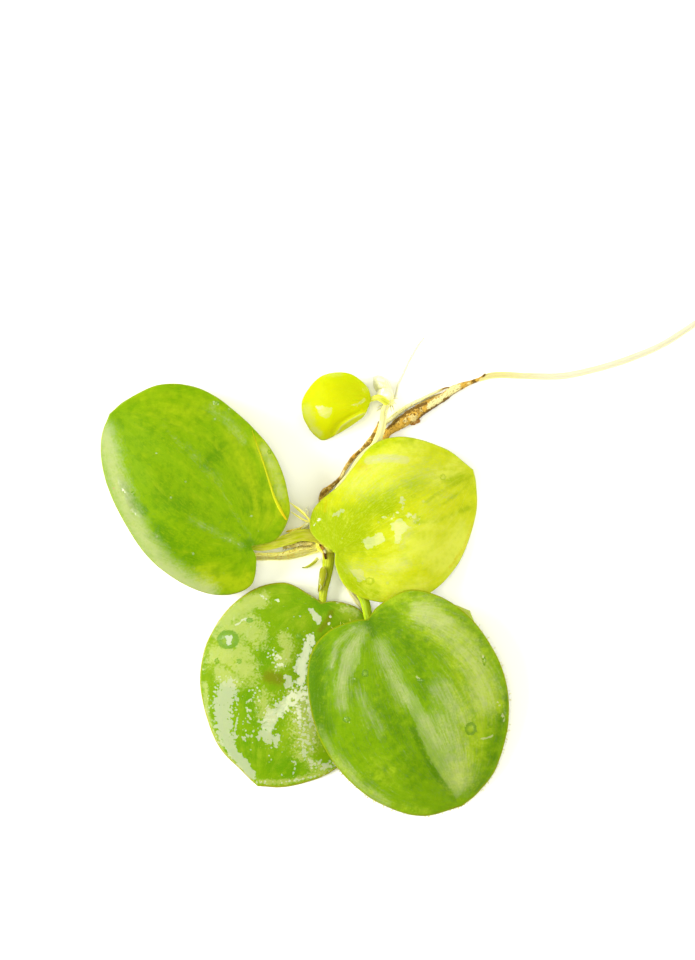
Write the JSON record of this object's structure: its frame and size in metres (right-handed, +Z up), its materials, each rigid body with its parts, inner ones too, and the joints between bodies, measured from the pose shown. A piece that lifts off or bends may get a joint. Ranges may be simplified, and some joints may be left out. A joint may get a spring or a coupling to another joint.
{
  "type": "amazon frogbit",
  "caption": "Floating aquarium plant lifted out and laid flat: round spongy leaves on short stalks, a brown runner with a long pale root, and a small daughter plant.",
  "frame": {"origin": "middle of the plant's footprint, on the surface that it lies on", "axes": "+X along the longest extent, towards the long root's end; +Y towards the daughter plant; +Z up from the surface, out of the leaves' upper faces"},
  "size_m": [0.0792, 0.0642, 0.006],
  "materials": {
    "deep_green_leaf": "satin",
    "bright_green_leaf": "gloss",
    "yellow_green_leaf": "satin",
    "green_stalk": "satin",
    "pale_runner": "satin",
    "straw_root": "satin",
    "brown_root": "matte",
    "bud_membrane": "satin"
  },
  "bodies": {
    "root": {"leaf_left": "deep_green_leaf", "leaf_lower_right": "deep_green_leaf", "leaf_lower_left": "bright_green_leaf", "leaf_centre": "yellow_green_leaf", "leaf_young": "yellow_green_leaf", "daughter_leaf": "yellow_green_leaf", "daughter_petiole": "yellow_green_leaf", "petiole_left": "green_stalk", "petiole_centre": "green_stalk", "petiole_lower_left": "green_stalk", "petiole_lower_right": "green_stalk", "sprout": "green_stalk", "crown": "green_stalk", "petiole_young": "pale_runner", "torn_strand": "pale_runner", "long_root": "pale_runner", "stolon": "pale_runner", "daughter_root": "pale_runner", "crown_scale": "straw_root", "root_upper": "straw_root", "root_lower": "straw_root", "daughter_crown": "straw_root", "root_brown": "brown_root", "rhizome": "brown_root", "old_root": "brown_root", "daughter_sheath": "bud_membrane", "sheath_lower_left": "bud_membrane"}
  },
  "joints": []
}
